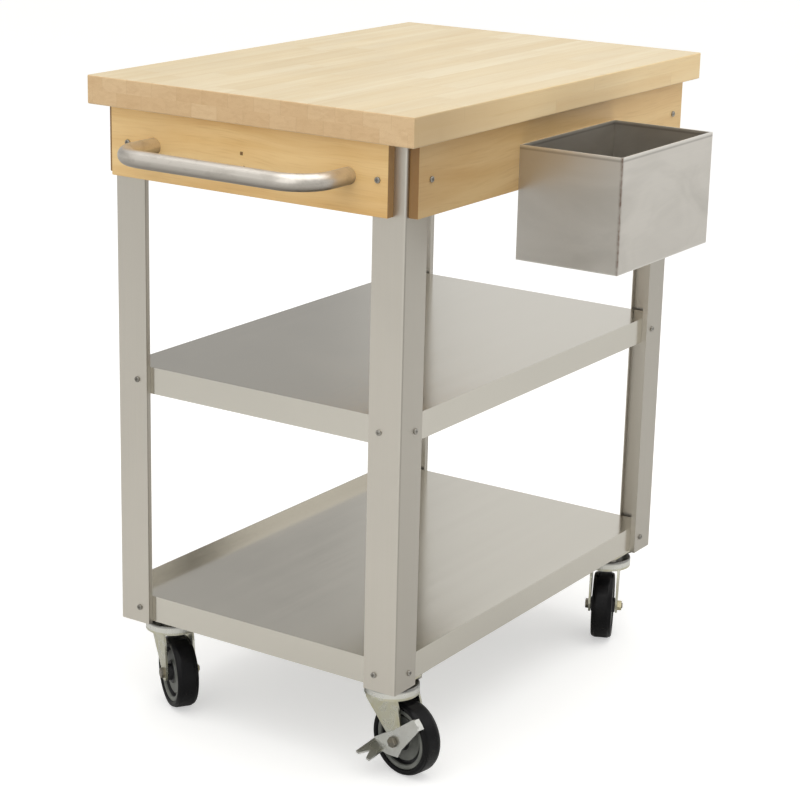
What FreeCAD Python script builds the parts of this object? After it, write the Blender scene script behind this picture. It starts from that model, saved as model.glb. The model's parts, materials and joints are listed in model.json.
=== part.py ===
"""Rolling kitchen island cart: butcher-block top, wooden aprons, stainless angle legs, two pan
shelves, tube push handle, side bin and four swivel casters.

Frame: origin on the floor under the middle of the cart. +X runs along the cart's length away
from the push handle, +Y runs across it away from the side bin, +Z is up. Millimetres.
"""

import FreeCAD, Part
import math
import os
import Sketcher

V = FreeCAD.Vector

# ---------------------------------------------------------------- driving dimensions

DIMENSIONS = {
    # butcher-block top
    "top_length": 762.0,
    "top_width": 510.0,
    "top_thickness": 38.0,
    "top_edge_round": 2.0,
    "cart_height": 890.0,
    # legs: folded sheet angles with a lip turned in along both free edges
    "frame_length": 711.0,
    "frame_width": 459.0,
    "leg_foot": 130.0,
    "leg_flange": 49.0,
    "leg_sheet": 1.6,
    "leg_lip": 7.9,
    "leg_bend": 3.0,
    # wooden aprons
    "apron_thickness": 14.0,
    "apron_height": 92.0,
    "apron_short_setback": 5.0,
    "apron_handle_setback": 18.0,
    # pan shelves
    "shelf_inset": 8.0,
    "shelf_sheet": 1.2,
    "shelf_skirt": 37.0,
    "mid_shelf_top": 500.0,
    "lower_shelf_top": 170.0,
    "shelf_lip": 15.0,
    "shelf_lip_setback": 12.0,
    # push handle
    "handle_diameter": 22.4,
    "handle_bore": 19.4,
    "handle_reach": 84.0,
    "handle_span": 306.0,
    "handle_bend": 46.0,
    "handle_plug": 8.0,
    # side bin
    "bin_length": 256.0,
    "bin_depth": 150.0,
    "bin_height": 152.0,
    "bin_sheet": 1.2,
    "bin_hem": 2.6,
    "bin_hem_height": 6.0,
    "bin_start": -112.0,
    "bin_rim": 820.0,
    # frame screws and nuts
    "screw_shank": 4.0,
    "screw_head": 8.0,
    "screw_head_height": 2.4,
    "nut_across": 7.0,
    "nut_height": 3.2,
    # casters
    "caster_inset_long": 58.5,
    "caster_inset_wide": 42.5,
    "wheel_diameter": 101.6,
    "wheel_width": 31.0,
    "tread_depth": 12.4,
    "caster_trail": 30.0,
    "fork_gap": 38.0,
    "fork_sheet": 3.0,
    "crown_diameter": 74.0,
    "crown_skirt": 14.0,
    "race_diameter": 56.0,
    "crown_top": 121.0,
    "plate_length": 63.0,
    "plate_width": 61.0,
    "plate_thickness": 3.0,
    "axle_diameter": 8.0,
    "sleeve_diameter": 12.0,
    "ball_diameter": 5.4,
    "ball_circle": 46.0,
    # caster channels under the lower shelf
    "channel_width": 82.0,
    "channel_foot": 15.0,
    "channel_sheet": 2.0,
    "channel_clearance": 2.0,
    # brake lever
    "brake_sheet": 2.4,
    "brake_gap": 0.4,
}

doc = FreeCAD.newDocument("island_cart")
sheet = doc.addObject("Spreadsheet::Sheet", "Dimensions")
for row, (alias, value) in enumerate(DIMENSIONS.items(), start=1):
    sheet.set(f"A{row}", alias)
    sheet.set(f"B{row}", str(value))
    sheet.setAlias(f"B{row}", alias)
doc.recompute()


def size(alias):
    """A driving dimension, read back from the sheet."""
    return float(sheet.get(alias))


NODES = []


def finish(obj, label, base=V(0, 0, 0), turn=0.0):
    """Name a sub-part, put it in its place in the cart and list it for export."""
    obj.Label = label
    obj.Placement = FreeCAD.Placement(base, FreeCAD.Rotation(V(0, 0, 1), turn))
    NODES.append(obj)
    return obj


def bind(obj, **expressions):
    """Bind properties of an object to formulas over the sheet's aliases."""
    for prop, formula in expressions.items():
        obj.setExpression(prop, in_sheet(formula))


def in_sheet(formula):
    """Prefix every alias in a formula with the sheet's name."""
    words = []
    word = ""
    for char in str(formula) + " ":
        if char.isalnum() or char == "_":
            word += char
            continue
        words.append("Dimensions." + word if word in DIMENSIONS else word)
        words.append(char)
        word = ""
    return "".join(words).strip()


def number(formula):
    """The value of a formula over the sheet's aliases."""
    scratch.setExpression("Length", in_sheet(f"({formula}) * 1mm + 5000mm"))
    scratch.recompute()
    return scratch.Length.Value - 5000.0


scratch = doc.addObject("Part::Box", "Evaluator")


# ---------------------------------------------------------------- building blocks


def box(name, x, y, z, length, width, height):
    """A block whose corner and three sizes are formulas."""
    obj = doc.addObject("Part::Box", name)
    bind(obj, Length=length, Width=width, Height=height)
    bind(obj, **{"Placement.Base.x": x, "Placement.Base.y": y, "Placement.Base.z": z})
    return obj


def fuse(name, *shapes):
    obj = doc.addObject("Part::MultiFuse", name)
    obj.Shapes = list(shapes)
    obj.Refine = True
    return obj


def cut(name, base, *tools):
    obj = doc.addObject("Part::Cut", name)
    obj.Base = base
    obj.Tool = tools[0] if len(tools) == 1 else fuse(name + "_tools", *tools)
    obj.Refine = True
    return obj


def origin_plane(body, role):
    return next(f for f in body.Origin.OriginFeatures if f.Role == role)


def polygon_sketch(body, name, plane, corners):
    """A closed outline whose corners are pairs of formulas, held by driving dimensions."""
    sketch = body.newObject("Sketcher::SketchObject", name)
    sketch.AttachmentSupport = [(origin_plane(body, plane), "")]
    sketch.MapMode = "FlatFace"
    draw_outline(sketch, corners)
    return sketch


def draw_outline(sketch, corners):
    """Lines through the corners, each corner held by a distance from both axes."""
    points = [V(number(x), number(y), 0) for x, y in corners]
    count = len(points)
    for i in range(count):
        sketch.addGeometry(Part.LineSegment(points[i], points[(i + 1) % count]), False)
    for i in range(count):
        sketch.addConstraint(Sketcher.Constraint("Coincident", i, 2, (i + 1) % count, 1))
    for i, (x, y) in enumerate(corners):
        for kind, formula, value in (("DistanceX", x, points[i].x), ("DistanceY", y, points[i].y)):
            index = sketch.addConstraint(Sketcher.Constraint(kind, -1, 1, i, 1, value))
            sketch.setExpression(f"Constraints[{index}]", in_sheet(f"({formula}) * 1mm"))


def padded_body(name, plane, corners, length):
    """A PartDesign body: one outline padded along its plane's normal."""
    body = doc.addObject("PartDesign::Body", name)
    sketch = polygon_sketch(body, name + "_outline", plane, corners)
    pad = body.newObject("PartDesign::Pad", name + "_pad")
    pad.Profile = sketch
    bind(pad, Length=f"({length}) * 1mm")
    doc.recompute()
    return body, pad


def revolved_body(name, corners):
    """A PartDesign body: an outline in the XZ plane turned about Z."""
    body = doc.addObject("PartDesign::Body", name)
    sketch = polygon_sketch(body, name + "_outline", "XZ_Plane", corners)
    turned = body.newObject("PartDesign::Revolution", name + "_turned")
    turned.Profile = sketch
    turned.ReferenceAxis = (sketch, ["V_Axis"])
    turned.Angle = 360.0
    doc.recompute()
    return body, turned


def round_edges(body, base, radius, wanted):
    """Fillet the edges of a body's feature that a test picks out."""
    names = [f"Edge{i}" for i, edge in enumerate(base.Shape.Edges, start=1) if wanted(edge)]
    fillet = body.newObject("PartDesign::Fillet", body.Name + "_round")
    fillet.Base = (base, names)
    bind(fillet, Radius=f"({radius}) * 1mm")
    doc.recompute()
    return fillet


def is_vertical(edge):
    low, high = edge.BoundBox.ZMin, edge.BoundBox.ZMax
    return edge.BoundBox.XLength < 1e-6 and edge.BoundBox.YLength < 1e-6 and high - low > 1.0


def group(label, solids):
    """Identical loose pieces kept as separate solids of one sub-part."""
    obj = doc.addObject("Part::Feature", label)
    obj.Shape = Part.makeCompound(solids)
    return finish(obj, label)


def aimed(solid, place, direction):
    """Copy a fastener modelled along +Z so that it points along a direction from a place."""
    copy = solid.copy()
    copy.Placement = FreeCAD.Placement(place, FreeCAD.Rotation(V(0, 0, 1), direction))
    return copy


def hexagon(across, height, z=0.0):
    radius = across / math.sqrt(3)
    corners = [
        V(radius * math.cos(math.radians(60 * i)), radius * math.sin(math.radians(60 * i)), z)
        for i in range(6)
    ]
    face = Part.Face(Part.makePolygon(corners + corners[:1]))
    return face.extrude(V(0, 0, height))


# ---------------------------------------------------------------- fasteners


def pan_screw(grip):
    """A cross-recess pan screw: head outside at z < 0, shank along +Z for its grip."""
    head_radius = size("screw_head") / 2
    head_height = size("screw_head_height")
    head = Part.makeCylinder(head_radius, head_height, V(0, 0, -head_height))
    head = head.makeFillet(1.2, [e for e in head.Edges if e.BoundBox.ZMax < -head_height + 0.01])
    arm = head_radius * 1.1
    slot_depth = 1.2
    for turn in (0, 90):
        blade = Part.makeBox(arm, 0.9, slot_depth, V(-arm / 2, -0.45, -head_height))
        blade.rotate(V(0, 0, 0), V(0, 0, 1), turn)
        head = head.cut(blade)
    shank = Part.makeCylinder(size("screw_shank") / 2, grip)
    return head.fuse(shank).removeSplitter()


def frame_nut():
    """A small hexagon nut that starts at z = 0, bored for the frame screw."""
    nut = hexagon(size("nut_across"), size("nut_height"))
    bore = Part.makeCylinder(size("screw_shank") / 2, size("nut_height"))
    return nut.cut(bore)


def hexagon_bolt(grip, diameter, head_across, head_height):
    """A hexagon bolt: head at z < 0, shank along +Z for its grip."""
    head = hexagon(head_across, head_height, -head_height)
    return head.fuse(Part.makeCylinder(diameter / 2, grip)).removeSplitter()


# ---------------------------------------------------------------- places shared by several pieces

FRAME_X = size("frame_length") / 2
FRAME_Y = size("frame_width") / 2
APRON_TOP = size("cart_height") - size("top_thickness")
APRON_FOOT = APRON_TOP - size("apron_height")
APRON_MIDDLE = (APRON_TOP + APRON_FOOT) / 2
SCREW_FROM_CORNER = 33.0
SHELF_SCREW_DROP = 18.0
SHELF_SCREW_LEVELS = [size(shelf) - SHELF_SCREW_DROP for shelf in ("mid_shelf_top", "lower_shelf_top")]
CORNERS = {"front_left": (-1, -1), "back_left": (-1, 1), "front_right": (1, -1), "back_right": (1, 1)}


def screw_places(height, outward):
    """Two screws per leg at a height: one in each flange, `outward` beyond the leg's face."""
    for sx, sy in CORNERS.values():
        reach_x = sx * (FRAME_X + outward)
        reach_y = sy * (FRAME_Y + outward)
        yield V(reach_x, sy * (FRAME_Y - SCREW_FROM_CORNER), height), V(-sx, 0, 0)
        yield V(sx * (FRAME_X - SCREW_FROM_CORNER), reach_y, height), V(0, -sy, 0)


def drill(obj_name, base, places, radius, depth):
    """Round holes through an object at (place, direction) pairs."""
    holes = [Part.makeCylinder(radius, depth, place - way * 1.0, way) for place, way in places]
    tool = doc.addObject("Part::Feature", obj_name + "_holes")
    tool.Shape = holes[0].multiFuse(holes[1:]) if len(holes) > 1 else holes[0]
    return cut(obj_name, base, tool)


# ---------------------------------------------------------------- wooden top and aprons


def make_top():
    half_x, half_y = "top_length / 2", "top_width / 2"
    corners = [(f"-{half_x}", f"-{half_y}"), (half_x, f"-{half_y}")]
    corners += [(half_x, half_y), (f"-{half_x}", half_y)]
    body, pad = padded_body("top_block", "XY_Plane", corners, "top_thickness")
    round_edges(body, pad, "top_edge_round", lambda edge: True)
    finish(body, "butcher_block_top", V(0, 0, APRON_TOP))


def make_aprons():
    setback, near = "apron_short_setback", "apron_handle_setback"
    half_x, half_y, thick = "frame_length / 2", "frame_width / 2", "apron_thickness"
    foot, tall = "cart_height - top_thickness - apron_height", "apron_height"
    short_side = f"frame_width - {setback} - {near}"
    long_side = f"frame_length - 2 * {setback}"
    boards = {
        "apron_handle_end": (f"-{half_x} - {thick}", f"-{half_y} + {near}", thick, short_side),
        "apron_far_end": (half_x, f"-{half_y} + {setback}", thick, short_side),
        "apron_front": (f"-{half_x} + {setback}", f"-{half_y} - {thick}", long_side, thick),
        "apron_back": (f"-{half_x} + {setback}", half_y, long_side, thick),
    }
    places = list(screw_places(APRON_MIDDLE, size("apron_thickness")))
    places += bin_screw_places() + handle_screw_places()
    for label, (x, y, length, width) in boards.items():
        board = box(label + "_board", x, y, foot, length, width, tall)
        rounded = doc.addObject("Part::Fillet", label + "_eased")
        rounded.Base = board
        doc.recompute()
        rounded.Edges = [(i, 1.2, 1.2) for i in range(1, len(board.Shape.Edges) + 1)]
        finish(drill(label, rounded, places, size("screw_shank") / 2, size("apron_thickness") + 2), label)


# ---------------------------------------------------------------- legs


def leg_outline():
    """Section of a leg in its own corner frame: corner at the origin, flanges along +X and +Y."""
    wide, thick, lip = "leg_flange", "leg_sheet", "leg_lip"
    return [
        ("0", "0"),
        (wide, "0"),
        (wide, lip),
        (f"{wide} - {thick}", lip),
        (f"{wide} - {thick}", thick),
        (thick, thick),
        (thick, f"{wide} - {thick}"),
        (lip, f"{wide} - {thick}"),
        (lip, wide),
        ("0", wide),
    ]


def make_legs():
    turns = {"front_left": 0, "front_right": 90, "back_right": 180, "back_left": 270}
    foot = size("leg_foot")
    tall = "cart_height - top_thickness - leg_foot"
    for corner, (sx, sy) in CORNERS.items():
        body, pad = padded_body("angle_" + corner, "XY_Plane", leg_outline(), tall)

        corner_edges = [
            edge
            for edge in pad.Shape.Edges
            if is_vertical(edge) and math.hypot(edge.Vertexes[0].X, edge.Vertexes[0].Y) < 0.1
        ]
        round_edges(body, pad, "leg_bend", lambda edge: any(edge.isSame(other) for other in corner_edges))
        body.Placement = FreeCAD.Placement(
            V(sx * FRAME_X, sy * FRAME_Y, foot), FreeCAD.Rotation(V(0, 0, 1), turns[corner])
        )
        levels = (APRON_MIDDLE, *SHELF_SCREW_LEVELS)
        places = [place for level in levels for place in screw_places(level, 0.0)]
        drilled = drill("leg_" + corner, body, places, size("screw_shank") / 2, 6.0)
        finish(drilled, "leg_" + corner)


# ---------------------------------------------------------------- shelves


def pan_parts(name, top):
    """Top sheet and four turned-down skirts of a shelf, mitred into one folded pan."""
    half_x, half_y = "(frame_length / 2 - shelf_inset)", "(frame_width / 2 - shelf_inset)"
    thick, skirt = "shelf_sheet", "shelf_skirt"
    foot = f"{top} - {skirt}"
    outer = box(name + "_outer", f"-{half_x}", f"-{half_y}", foot, f"2 * {half_x}", f"2 * {half_y}", skirt)
    inner = box(
        name + "_inner",
        f"-{half_x} + {thick}",
        f"-{half_y} + {thick}",
        f"{foot} - 1",
        f"2 * {half_x} - 2 * {thick}",
        f"2 * {half_y} - 2 * {thick}",
        f"{skirt} - {thick} + 1",
    )
    return cut(name + "_pan", outer, inner)


def make_shelves():
    reach = -size("shelf_inset")
    skirt_hole = size("screw_shank") / 2
    for label, top in (("mid_shelf", "mid_shelf_top"), ("lower_shelf", "lower_shelf_top")):
        pan = pan_parts(label, top)
        if label == "lower_shelf":
            lip = box(
                label + "_lip",
                "-frame_length / 2 + shelf_inset + shelf_lip_setback",
                "frame_width / 2 - shelf_inset - shelf_sheet",
                f"{top} - shelf_sheet",
                "frame_length - 2 * shelf_inset - 2 * shelf_lip_setback",
                "shelf_sheet",
                "shelf_lip + shelf_sheet",
            )
            pan = fuse(label + "_lipped", pan, lip)
        places = list(screw_places(size(top) - SHELF_SCREW_DROP, reach))
        finish(drill(label, pan, places, skirt_hole, 5.0), label)


# ---------------------------------------------------------------- handle


def handle_screw_places():
    face = -FRAME_X
    half = size("handle_span") / 2
    return [(V(face, side * half, APRON_MIDDLE), V(-1, 0, 0)) for side in (-1, 1)]


def handle_path(inset=0.0):
    """U-shaped centre line of the tube: post, bend, bar, bend, post."""
    start = -(FRAME_X + size("apron_thickness"))
    half, bend = size("handle_span") / 2, size("handle_bend")
    far = start - size("handle_reach")
    diagonal = bend * (1 - math.cos(math.radians(45)))
    z = APRON_MIDDLE
    points = [V(start - inset, -half, z), V(far + bend, -half, z), V(far, -half + bend, z)]
    points += [V(far, half - bend, z), V(far + bend, half, z), V(start - inset, half, z)]
    first_mid = V(far + diagonal, -half + diagonal, z)
    last_mid = V(far + diagonal, half - diagonal, z)
    return Part.Wire(
        [
            Part.makeLine(points[0], points[1]),
            Part.Arc(points[1], first_mid, points[2]).toShape(),
            Part.makeLine(points[2], points[3]),
            Part.Arc(points[3], last_mid, points[4]).toShape(),
            Part.makeLine(points[4], points[5]),
        ]
    )


def swept(path, radius):
    start = path.Edges[0].Vertexes[0].Point
    ring = Part.Wire([Part.makeCircle(radius, start, V(1, 0, 0))])
    return path.makePipeShell([ring], True, False)


def make_handle():
    """Bent tube, closed at both posts by threaded plugs that take the screws."""
    path = handle_path()
    tube = swept(path, size("handle_diameter") / 2).cut(swept(path, size("handle_bore") / 2))
    plug_length = size("handle_plug")
    for place, way in handle_screw_places():
        start = place + way * size("apron_thickness")
        plug = Part.makeCylinder(size("handle_bore") / 2, plug_length, start, way)
        tube = tube.fuse(plug).cut(Part.makeCylinder(size("screw_shank") / 2, plug_length, start, way))
    obj = doc.addObject("Part::Feature", "handle_tube")
    obj.Shape = tube.removeSplitter()
    finish(obj, "push_handle")
    screw = pan_screw(size("apron_thickness") + plug_length - 1.0)
    group("handle_screws", [aimed(screw, place, way) for place, way in handle_screw_places()])


# ---------------------------------------------------------------- side bin


BIN_SCREW_DROP = 48.0


def bin_screw_places():
    """Two screws from inside the bin, through its back wall, into the front apron."""
    start, length = size("bin_start"), size("bin_length")
    height = size("bin_rim") - BIN_SCREW_DROP
    face = -(FRAME_Y + size("apron_thickness") + size("bin_sheet"))
    return [(V(start + length * part, face, height), V(0, 1, 0)) for part in (0.2, 0.8)]


def make_bin():
    """Open box of folded sheet with a rolled rim."""
    x, z = "bin_start", "bin_rim - bin_height"
    y = "-frame_width / 2 - apron_thickness - bin_depth"
    thick, hem = "bin_sheet", "bin_hem"
    outer = box("bin_outer", x, y, z, "bin_length", "bin_depth", "bin_height")
    rim = box("bin_rim_roll", x, y, "bin_rim - bin_hem_height", "bin_length", "bin_depth", "bin_hem_height")
    inner = box(
        "bin_inner",
        f"{x} + {thick}",
        f"{y} + {thick}",
        f"{z} + {thick}",
        f"bin_length - 2 * {thick}",
        f"bin_depth - 2 * {thick}",
        f"bin_height - {thick} - bin_hem_height",
    )
    mouth = box(
        "bin_mouth",
        f"{x} + {hem}",
        f"{y} + {hem}",
        "bin_rim - bin_hem_height - 1",
        f"bin_length - 2 * {hem}",
        f"bin_depth - 2 * {hem}",
        "bin_hem_height + 2",
    )
    shell = cut("bin_shell", fuse("bin_solid", outer, rim), inner, mouth)
    finish(drill("side_bin", shell, bin_screw_places(), size("screw_shank") / 2, 3.0), "side_bin")
    screw = pan_screw(size("bin_sheet") + size("apron_thickness") - 1.0)
    group("bin_screws", [aimed(screw, place, way) for place, way in bin_screw_places()])


# ---------------------------------------------------------------- frame fasteners and brackets


def make_frame_fasteners():
    through_apron = pan_screw(size("apron_thickness") + size("leg_sheet") + size("nut_height") + 1.0)
    outside = screw_places(APRON_MIDDLE, size("apron_thickness"))
    group("apron_screws", [aimed(through_apron, place, way) for place, way in outside])

    grip = size("shelf_inset") + size("shelf_sheet") + size("nut_height") + 1.0
    through_shelf = pan_screw(grip)
    shelf_places = [place for level in SHELF_SCREW_LEVELS for place in screw_places(level, 0.0)]
    group("shelf_screws", [aimed(through_shelf, place, way) for place, way in shelf_places])

    nut = frame_nut()
    nuts = [aimed(nut, place, way) for place, way in screw_places(APRON_MIDDLE, -size("leg_sheet"))]
    behind_skirt = -(size("shelf_inset") + size("shelf_sheet"))
    for level in SHELF_SCREW_LEVELS:
        nuts += [aimed(nut, place, way) for place, way in screw_places(level, behind_skirt)]
    group("frame_nuts", nuts)


BRACKET_SIDE = 24.0
BRACKET_SHEET = 2.0
BRACKET_OFFSET = 100.0


def bracket_places():
    """Angle brackets inside the two long aprons, two on each."""
    for sx in (-1, 1):
        for sy in (-1, 1):
            yield sx * (FRAME_X - BRACKET_OFFSET), sy


def make_top_brackets():
    """Small angles that hold the block to the aprons, with a screw into each."""
    brackets, screws = [], []
    hole_radius = size("screw_shank") / 2
    screw = pan_screw(12.0)
    for x, sy in bracket_places():
        wall = sy * FRAME_Y
        inner = wall - sy * BRACKET_SHEET
        upright = Part.makeBox(
            BRACKET_SIDE, BRACKET_SHEET, BRACKET_SIDE,
            V(x - BRACKET_SIDE / 2, min(wall, inner), APRON_TOP - BRACKET_SIDE),
        )
        reach = wall - sy * BRACKET_SIDE
        flat = Part.makeBox(
            BRACKET_SIDE, BRACKET_SIDE, BRACKET_SHEET,
            V(x - BRACKET_SIDE / 2, min(wall, reach), APRON_TOP - BRACKET_SHEET),
        )
        middle = BRACKET_SIDE / 2 + 1.0
        into_top = V(x, wall - sy * middle, APRON_TOP - BRACKET_SHEET)
        into_apron = V(x, inner, APRON_TOP - middle)
        bracket = upright.fuse(flat)
        for place, way in ((into_top, V(0, 0, 1)), (into_apron, V(0, sy, 0))):
            bracket = bracket.cut(Part.makeCylinder(hole_radius, BRACKET_SHEET + 2, place - way, way))
            screws.append(aimed(screw, place, way))
        brackets.append(bracket.removeSplitter())
    group("top_brackets", brackets)
    group("bracket_screws", screws)
    return screws


def pilot_holes(label, screws):
    """Cut the wood screws' own shapes out of a wooden piece, so that they sit in it."""
    index = next(i for i, node in enumerate(NODES) if node.Label == label)
    wood = NODES.pop(index)
    wood.Label = label + "_blank"
    tool = doc.addObject("Part::Feature", label + "_pilots")
    tool.Shape = Part.makeCompound(screws)
    drilled = cut(label + "_drilled", wood, tool)
    drilled.Label = label
    NODES.append(drilled)


# ---------------------------------------------------------------- caster channels


def make_caster_channels():
    """Channels welded under the lower shelf, one across each end, with a foot on the inner side."""
    thick, wide, foot = "channel_sheet", "channel_width", "channel_foot"
    tall = "(lower_shelf_top - shelf_sheet - leg_foot)"
    half_y = "(frame_width / 2 - shelf_inset - shelf_sheet - channel_clearance)"
    outline = [
        (f"-{wide} / 2", "0"),
        (f"{wide} / 2", "0"),
        (f"{wide} / 2", f"{tall} - {thick}"),
        (f"{wide} / 2 + {foot}", f"{tall} - {thick}"),
        (f"{wide} / 2 + {foot}", tall),
        (f"{wide} / 2 - {thick}", tall),
        (f"{wide} / 2 - {thick}", thick),
        (f"-{wide} / 2 + {thick}", thick),
        (f"-{wide} / 2 + {thick}", tall),
        (f"-{wide} / 2", tall),
    ]
    for side, turn, label in ((-1, 0, "caster_channel_left"), (1, 180, "caster_channel_right")):
        body, _ = padded_body(label + "_section", "XZ_Plane", outline, f"2 * {half_y}")
        body.Placement = FreeCAD.Placement(
            V(side * CASTER_X, -side * number(half_y), size("leg_foot")), FreeCAD.Rotation(V(0, 0, 1), turn)
        )
        holes = [(place, way) for place, way in mount_bolt_places() if place.x * side > 0]
        finish(drill(label, body, holes, MOUNT_BOLT / 2, 20.0), label)


# ---------------------------------------------------------------- casters

CASTER_X = FRAME_X - size("caster_inset_long")
CASTER_Y = FRAME_Y - size("caster_inset_wide")
TRAIL_ANGLE = {"front_left": 258.0, "back_left": 236.0, "front_right": 205.0, "back_right": 240.0}
BRAKED = ("front_left", "back_right")
MOUNT_BOLT = 6.0
BOLT_SPACING_X = 50.0
BOLT_SPACING_Y = 48.0
PLATE_TOP = size("leg_foot")
PLATE_FOOT = PLATE_TOP - size("plate_thickness")
AXLE_HEIGHT = size("wheel_diameter") / 2


def caster_centres():
    for corner, (sx, sy) in CORNERS.items():
        yield corner, V(sx * CASTER_X, sy * CASTER_Y, 0)


def mount_bolt_places():
    """Four bolts up through each top plate and the channel above it."""
    places = []
    for _, centre in caster_centres():
        for sx in (-1, 1):
            for sy in (-1, 1):
                offset = V(sx * BOLT_SPACING_X / 2, sy * BOLT_SPACING_Y / 2, PLATE_FOOT)
                places.append((centre + offset, V(0, 0, 1)))
    return places


KINGPIN = 12.0


def make_top_plates():
    """Fixed plates, each with a hole for its kingpin and a pressed ring that holds the balls."""
    for corner, centre in caster_centres():
        length, width, thick = size("plate_length"), size("plate_width"), size("plate_thickness")
        corner_radius = 8.0
        plate = Part.makeBox(length, width, thick, V(-length / 2, -width / 2, PLATE_FOOT))
        plate = plate.makeFillet(corner_radius, [e for e in plate.Edges if is_vertical(e)])
        ring = Part.makeCylinder(18.5, 3.0, V(0, 0, PLATE_FOOT - 3.0))
        ring = ring.cut(Part.makeCylinder(16.0, 3.0, V(0, 0, PLATE_FOOT - 3.0)))
        plate = plate.fuse(ring).cut(Part.makeCylinder(KINGPIN / 2, thick, V(0, 0, PLATE_FOOT)))
        for sx in (-1, 1):
            for sy in (-1, 1):
                at = V(sx * BOLT_SPACING_X / 2, sy * BOLT_SPACING_Y / 2, PLATE_FOOT)
                plate = plate.cut(Part.makeCylinder(MOUNT_BOLT / 2, thick, at))
        obj = doc.addObject("Part::Feature", "plate_" + corner)
        obj.Shape = plate.removeSplitter()
        finish(obj, f"caster_{corner}_top_plate", centre)


def make_mount_fasteners():
    grip = size("plate_thickness") + size("channel_sheet") + 5.0 + 1.5
    bolt = hexagon_bolt(grip, MOUNT_BOLT, 10.0, 4.0)
    group("caster_mount_bolts", [aimed(bolt, place, way) for place, way in mount_bolt_places()])
    nut = hexagon(10.0, 5.0).cut(Part.makeCylinder(MOUNT_BOLT / 2, 5.0))
    lift = V(0, 0, size("plate_thickness") + size("channel_sheet"))
    group("caster_mount_nuts", [aimed(nut, place + lift, way) for place, way in mount_bolt_places()])


def make_kingpins_and_balls():
    pins, balls = [], []
    crown_top = size("crown_top")
    crown_foot = crown_top - size("fork_sheet")
    ball = size("ball_diameter")
    ball_z = (crown_top + PLATE_FOOT) / 2
    ball_count = 16
    for _, centre in caster_centres():
        shank_foot = crown_foot - 0.4
        shank = Part.makeCylinder(KINGPIN / 2, PLATE_TOP - shank_foot, centre + V(0, 0, shank_foot))
        head = Part.makeCylinder(10.0, 3.0, centre + V(0, 0, shank_foot - 3.0))
        head = head.makeFillet(1.4, [e for e in head.Edges if e.BoundBox.ZMax < shank_foot - 2.9])
        pins.append(shank.fuse(head).removeSplitter())
        for i in range(ball_count):
            turn = 2 * math.pi * i / ball_count
            reach = size("ball_circle") / 2
            place = centre + V(reach * math.cos(turn), reach * math.sin(turn), ball_z)
            balls.append(Part.makeSphere(ball / 2, place))
    group("caster_kingpins", pins)
    group("caster_bearing_balls", balls)


def fork_shape():
    """Yoke in its own frame: swivel axis on Z, wheel trailing along +X, axle along Y."""
    radius, sheet_thick = size("crown_diameter") / 2, size("fork_sheet")
    top = size("crown_top")
    foot = top - sheet_thick
    gap, trail = size("fork_gap"), size("caster_trail")
    outside = gap / 2 + sheet_thick
    skirt = size("crown_skirt")
    crown = Part.makeCylinder(radius, skirt, V(0, 0, top - skirt))
    crown = crown.makeFillet(2.4, [e for e in crown.Edges if e.BoundBox.ZMin > top - 0.1])
    crown = crown.cut(Part.makeCylinder(radius - sheet_thick, skirt - sheet_thick, V(0, 0, top - skirt)))
    race = size("race_diameter") / 2
    rim = Part.makeCylinder(race, 4.2, V(0, 0, top)).cut(Part.makeCylinder(race - 2.0, 4.2, V(0, 0, top)))
    fork = crown.fuse(rim)
    boss = 13.0
    shoulder_back, shoulder_front = -27.0, 27.0
    drop = foot - 22.0
    outline = Part.makePolygon(
        [
            V(shoulder_back, 0, foot),
            V(shoulder_front, 0, foot),
            V(shoulder_front + 8, 0, drop),
            V(trail + boss, 0, AXLE_HEIGHT + 4),
            V(trail + boss * 0.6, 0, AXLE_HEIGHT - boss * 0.8),
            V(trail - boss * 0.6, 0, AXLE_HEIGHT - boss * 0.8),
            V(trail - boss, 0, AXLE_HEIGHT + 4),
            V(shoulder_back, 0, drop),
            V(shoulder_back, 0, foot),
        ]
    )
    leg = Part.Face(outline).extrude(V(0, sheet_thick, 0))
    across = [e for e in leg.Edges if e.BoundBox.YLength > 1 and e.BoundBox.ZLength < 1e-3]
    leg = leg.makeFillet(4.0, [e for e in across if e.BoundBox.ZMax < AXLE_HEIGHT + 5])
    across = [e for e in leg.Edges if e.BoundBox.YLength > 1 and e.BoundBox.ZLength < 1e-3]
    leg = leg.makeFillet(8.0, [e for e in across if abs(e.BoundBox.ZMin - drop) < 1])
    for y in (-outside, gap / 2):
        side = leg.copy()
        side.translate(V(0, y, 0))
        fork = fork.fuse(side)
    start = V(trail, -outside - 1, AXLE_HEIGHT)
    bore = Part.makeCylinder(size("axle_diameter") / 2, 2 * outside + 2, start, V(0, 1, 0))
    pin_hole = Part.makeCylinder(KINGPIN / 2 + 0.08, sheet_thick, V(0, 0, foot))
    return fork.removeSplitter().cut(bore).cut(pin_hole)


def axle_bolt_shape(braked):
    """Axle bolt along +Y, its head on the brake's side, with a washer face under the head."""
    outside = size("fork_gap") / 2 + size("fork_sheet")
    lever = size("brake_sheet") + 2 * size("brake_gap") if braked else 0.0
    head_at = -(outside + lever)
    nut_at = outside
    length = nut_at - head_at + 8.0
    bolt = hexagon_bolt(length, size("axle_diameter"), 13.0, 5.0)
    head_edges = [e for e in bolt.Edges if e.BoundBox.ZMax < -4.9]
    bolt = bolt.makeChamfer(0.8, head_edges)
    return aimed(bolt, V(size("caster_trail"), head_at, AXLE_HEIGHT), V(0, 1, 0))


def axle_nut_shape():
    outside = size("fork_gap") / 2 + size("fork_sheet")
    nut = hexagon(13.0, 6.5).cut(Part.makeCylinder(size("axle_diameter") / 2, 6.5))
    nut = nut.makeChamfer(0.7, [e for e in nut.Edges if e.BoundBox.ZMin > 6.4 and e.Length < 8])
    return aimed(nut, V(size("caster_trail"), outside, AXLE_HEIGHT), V(0, 1, 0))


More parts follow.
